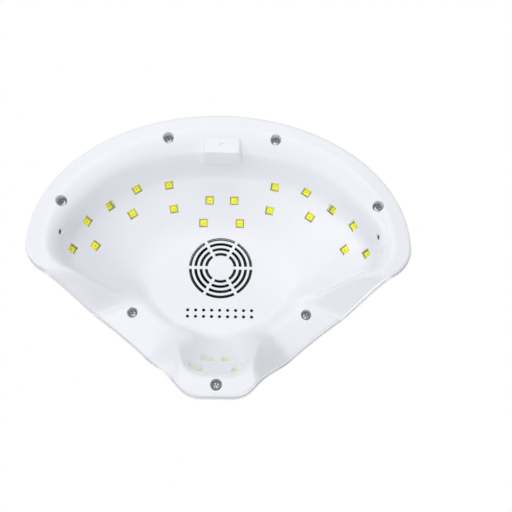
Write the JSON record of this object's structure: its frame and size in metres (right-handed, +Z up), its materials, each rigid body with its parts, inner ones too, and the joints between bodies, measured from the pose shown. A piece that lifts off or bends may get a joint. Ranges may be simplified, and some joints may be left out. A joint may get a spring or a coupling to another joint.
{
  "type": "led nail lamp",
  "caption": "Two-hand LED nail lamp: fan-shaped clam housing on a rear rim and a front pillar, with an arched opening for each hand, lit from above, with a fan and timer buttons.",
  "frame": {"origin": "on the table, in the middle of the plan", "axes": "+X to the user's right, +Y towards the back, +Z up"},
  "size_m": [0.25, 0.1935, 0.0897],
  "materials": {
    "gloss_white": "gloss",
    "reflector_white": "satin gloss",
    "led_yellow": "phosphor under clear silicone",
    "board_white": "white solder mask",
    "board_green": "green solder mask",
    "fan_black": "matte",
    "steel": "plated",
    "copper": "enamelled wire",
    "smoked_lens": "polished",
    "black_plastic": "satin",
    "key_grey": "satin"
  },
  "bodies": {
    "housing": {"board_screw_1": "steel", "board_screw_2": "steel", "board_screw_3": "steel", "board_screw_4": "steel", "buzzer": "black_plastic", "case_screw_left_opening": "steel", "case_screw_left_rear": "steel", "case_screw_left_side": "steel", "case_screw_pillar": "steel", "case_screw_right_opening": "steel", "case_screw_right_rear": "steel", "case_screw_right_side": "steel", "dc_jack": "black_plastic", "display_lens": "smoked_lens", "display_module": "black_plastic", "fan_frame": "fan_black", "fan_screw_left_front": "steel", "fan_screw_right_rear": "steel", "fan_stator": "copper", "hand_sensor_left": "black_plastic", "hand_sensor_right": "black_plastic", "inner_shell": "reflector_white", "led_board_left_inner": "board_white", "led_board_left_outer": "board_white", "led_board_middle": "board_white", "led_board_pillar": "board_white", "led_board_right_inner": "board_white", "led_board_right_outer": "board_white", "led_left_inner_1": "led_yellow", "led_left_inner_2": "led_yellow", "led_left_inner_3": "led_yellow", "led_left_inner_4": "led_yellow", "led_left_outer_1": "led_yellow", "led_left_outer_2": "led_yellow", "led_left_outer_3": "led_yellow", "led_left_outer_4": "led_yellow", "led_middle_1": "led_yellow", "led_middle_2": "led_yellow", "led_middle_3": "led_yellow", "led_middle_4": "led_yellow", "led_pillar_1": "led_yellow", "led_pillar_2": "led_yellow", "led_pillar_3": "led_yellow", "led_pillar_4": "led_yellow", "led_right_inner_1": "led_yellow", "led_right_inner_2": "led_yellow", "led_right_inner_3": "led_yellow", "led_right_inner_4": "led_yellow", "led_right_outer_1": "led_yellow", "led_right_outer_2": "led_yellow", "led_right_outer_3": "led_yellow", "led_right_outer_4": "led_yellow", "main_board": "board_green", "top_cover": "gloss_white"},
    "fan_rotor": {"fan_rotor": "fan_black"},
    "timer_button_1": {"timer_button_1": "key_grey"},
    "timer_button_2": {"timer_button_2": "key_grey"},
    "timer_button_3": {"timer_button_3": "key_grey"},
    "timer_button_4": {"timer_button_4": "key_grey"}
  },
  "joints": [
    {"name": "fan_spin", "type": "hinge", "parent": "housing", "child": "fan_rotor", "pos_m": [0, 0.0017, 0.0566], "axis": [0, 0, 1], "continuous": true},
    {"name": "timer_button_1_press", "type": "slide", "parent": "housing", "child": "timer_button_1", "axis": [0, 0.1392, -0.9903], "range_m": [0, 0.0006], "stiffness_N_per_m": 1500},
    {"name": "timer_button_2_press", "type": "slide", "parent": "housing", "child": "timer_button_2", "axis": [0, 0.1392, -0.9903], "range_m": [0, 0.0006], "stiffness_N_per_m": 1500},
    {"name": "timer_button_3_press", "type": "slide", "parent": "housing", "child": "timer_button_3", "axis": [0, 0.1392, -0.9903], "range_m": [0, 0.0006], "stiffness_N_per_m": 1500},
    {"name": "timer_button_4_press", "type": "slide", "parent": "housing", "child": "timer_button_4", "axis": [0, 0.1392, -0.9903], "range_m": [0, 0.0006], "stiffness_N_per_m": 1500}
  ]
}
